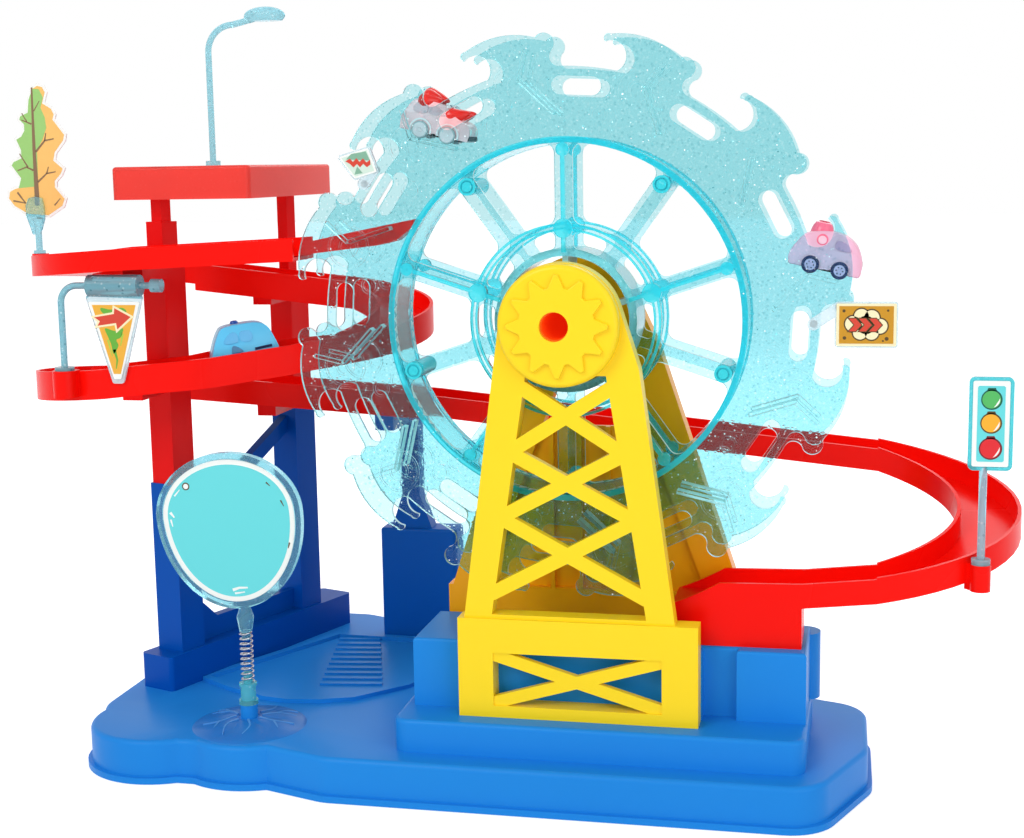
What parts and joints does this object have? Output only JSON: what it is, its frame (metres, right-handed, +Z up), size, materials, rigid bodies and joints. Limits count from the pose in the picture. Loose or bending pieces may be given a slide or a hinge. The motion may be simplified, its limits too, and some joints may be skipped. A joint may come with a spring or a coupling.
{
  "type": "ferris wheel car track playset",
  "caption": "Toy wheel with hooked clear plates that lifts small cars to a high lane, and a sloping channel track with turns that brings them back to its foot.",
  "frame": {"origin": "on the ground under the wheel's axle, midway between its plates", "axes": "X along the length, to the right seen from the front; Y to the back, along the wheel's axle; Z up"},
  "size_m": [0.5958, 0.282, 0.43],
  "materials": {
    "blue_plastic": "moulded, glossy",
    "navy_plastic": "moulded, glossy",
    "yellow_plastic": "moulded, glossy",
    "orange_plastic": "moulded, glossy",
    "red_plastic": "moulded, glossy",
    "clear_red_plastic": "clear, glossy",
    "clear_cyan_plastic": "clear plastic with fine glitter",
    "deep_cyan_plastic": "clear plastic",
    "spring_steel": "drawn wire",
    "screw_steel": "plated",
    "printed_card": "printed label",
    "tree_print": "printed label",
    "teal_print": "printed label",
    "amber_print": "printed label",
    "grey_paint": "painted",
    "pink_paint": "painted",
    "light_blue_paint": "painted",
    "dark_chassis": "moulded",
    "dark_glass": "smoked",
    "wheel_rubber": "moulded",
    "white_bush": "moulded"
  },
  "bodies": {
    "playset": {"base_shell": "blue_plastic", "tower_front": "yellow_plastic", "tower_rear": "orange_plastic", "rear_bush": "white_bush", "track_top_lane": "red_plastic", "track_top_turn": "red_plastic", "track_second_lane": "red_plastic", "track_right_turn": "red_plastic", "track_middle_lane": "red_plastic", "track_low_turn": "red_plastic", "track_lower_lane": "red_plastic", "track_back_lane": "red_plastic", "track_loop": "red_plastic", "track_end_block": "red_plastic", "support_frame": "navy_plastic", "pillar_left": "red_plastic", "pillar_right": "red_plastic", "roof": "clear_red_plastic", "back_column": "blue_plastic", "spring_foot": "clear_cyan_plastic", "spring": "spring_steel"},
    "wheel": {"wheel_plate_front": "clear_cyan_plastic", "wheel_plate_rear": "clear_cyan_plastic", "wheel_drum": "clear_cyan_plastic", "wheel_hub": "deep_cyan_plastic", "wheel_spacers": "clear_cyan_plastic", "wheel_pins": "deep_cyan_plastic", "axle": "orange_plastic", "crank_arm": "yellow_plastic", "crank_screw": "screw_steel", "end_frame": "clear_cyan_plastic", "end_card": "printed_card", "hazard_frame": "clear_cyan_plastic", "hazard_card": "amber_print"},
    "knob": {"crank_knob": "orange_plastic"},
    "lamp": {"street_lamp": "clear_cyan_plastic"},
    "tree": {"tree_stem": "clear_cyan_plastic", "tree_card": "tree_print"},
    "start_arm": {"go_arm": "deep_cyan_plastic"},
    "start_flag": {"go_flag_frame": "deep_cyan_plastic", "go_flag_card": "printed_card"},
    "mirror": {"mirror_frame": "clear_cyan_plastic", "mirror_panel": "teal_print"},
    "traffic_light": {"traffic_frame": "clear_cyan_plastic", "traffic_panel": "teal_print"},
    "grey_car": {"grey_car_body": "grey_paint", "grey_car_chassis": "dark_chassis", "grey_car_glass": "dark_glass"},
    "grey_front_wheels": {"grey_car_axle_front": "wheel_rubber"},
    "grey_rear_wheels": {"grey_car_axle_rear": "wheel_rubber"},
    "pink_car": {"pink_car_body": "pink_paint", "pink_car_chassis": "dark_chassis", "pink_car_glass": "dark_glass"},
    "pink_front_wheels": {"pink_car_axle_front": "wheel_rubber"},
    "pink_rear_wheels": {"pink_car_axle_rear": "wheel_rubber"},
    "blue_car": {"blue_car_body": "light_blue_paint", "blue_car_chassis": "dark_chassis", "blue_car_glass": "dark_glass"},
    "blue_front_wheels": {"blue_car_axle_front": "wheel_rubber"},
    "blue_rear_wheels": {"blue_car_axle_rear": "wheel_rubber"}
  },
  "joints": [
    {"name": "wheel_spin", "type": "hinge", "parent": "playset", "child": "wheel", "pos_m": [0, 0, 0.252], "axis": [0, 1, 0], "range_deg": [-24, 198]},
    {"name": "knob_spin", "type": "hinge", "parent": "wheel", "child": "knob", "pos_m": [0, 0.067, 0.222], "axis": [0, 1, 0], "continuous": true},
    {"name": "grey_car_lift", "type": "slide", "parent": "wheel", "child": "grey_car", "axis": [0.2259, 0, 0.9741], "range_m": [0, 0.03]},
    {"name": "pink_car_lift", "type": "slide", "parent": "wheel", "child": "pink_car", "axis": [0.2237, 0, 0.9746], "range_m": [0, 0.03]},
    {"name": "blue_car_roll", "type": "slide", "parent": "playset", "child": "blue_car", "axis": [-0.8772, -0.4664, -0.1135], "range_m": [-0.008, 0.008]},
    {"name": "grey_front_wheels_spin", "type": "hinge", "parent": "grey_car", "child": "grey_front_wheels", "pos_m": [-0.06293, 0, 0.34932], "axis": [0, 1, 0], "continuous": true},
    {"name": "grey_rear_wheels_spin", "type": "hinge", "parent": "grey_car", "child": "grey_rear_wheels", "pos_m": [-0.07754, 0, 0.35271], "axis": [0, 1, 0], "continuous": true},
    {"name": "pink_front_wheels_spin", "type": "hinge", "parent": "pink_car", "child": "pink_front_wheels", "pos_m": [0.1407, 0, 0.27767], "axis": [0, 1, 0], "continuous": true},
    {"name": "pink_rear_wheels_spin", "type": "hinge", "parent": "pink_car", "child": "pink_rear_wheels", "pos_m": [0.12608, 0, 0.28103], "axis": [0, 1, 0], "continuous": true},
    {"name": "blue_front_wheels_spin", "type": "hinge", "parent": "blue_car", "child": "blue_front_wheels", "pos_m": [-0.20241, 0.02476, 0.22392], "axis": [0.4695, -0.8829, 0], "continuous": true},
    {"name": "blue_rear_wheels_spin", "type": "hinge", "parent": "blue_car", "child": "blue_rear_wheels", "pos_m": [-0.18925, 0.03176, 0.22562], "axis": [0.4695, -0.8829, 0], "continuous": true},
    {"name": "mirror_rock", "type": "hinge", "parent": "playset", "child": "mirror", "pos_m": [-0.182, -0.025, 0.064], "axis": [0, 1, 0], "range_deg": [-18, 18], "stiffness_Nm_per_rad": 0.6, "deforming": ["spring"]},
    {"name": "start_arm_swivel", "type": "hinge", "parent": "playset", "child": "start_arm", "pos_m": [-0.2933, -0.0055, 0.2215], "axis": [0, 0, 1], "range_deg": [-40, 0]},
    {"name": "start_flag_swing", "type": "hinge", "parent": "start_arm", "child": "start_flag", "pos_m": [-0.2603, -0.0055, 0.27], "axis": [1, 0, 0], "range_deg": [-35, 0]},
    {"name": "lamp_swivel", "type": "hinge", "parent": "playset", "child": "lamp", "pos_m": [-0.24, 0.097, 0.336], "axis": [0, 0, 1], "range_deg": [-180, 180]},
    {"name": "tree_swivel", "type": "hinge", "parent": "playset", "child": "tree", "pos_m": [-0.3374, 0.055, 0.285], "axis": [0, 0, 1], "range_deg": [-60, 60]},
    {"name": "traffic_light_swivel", "type": "hinge", "parent": "playset", "child": "traffic_light", "pos_m": [0.214, -0.004, 0.126], "axis": [0, 0, 1], "range_deg": [-90, 90]}
  ]
}
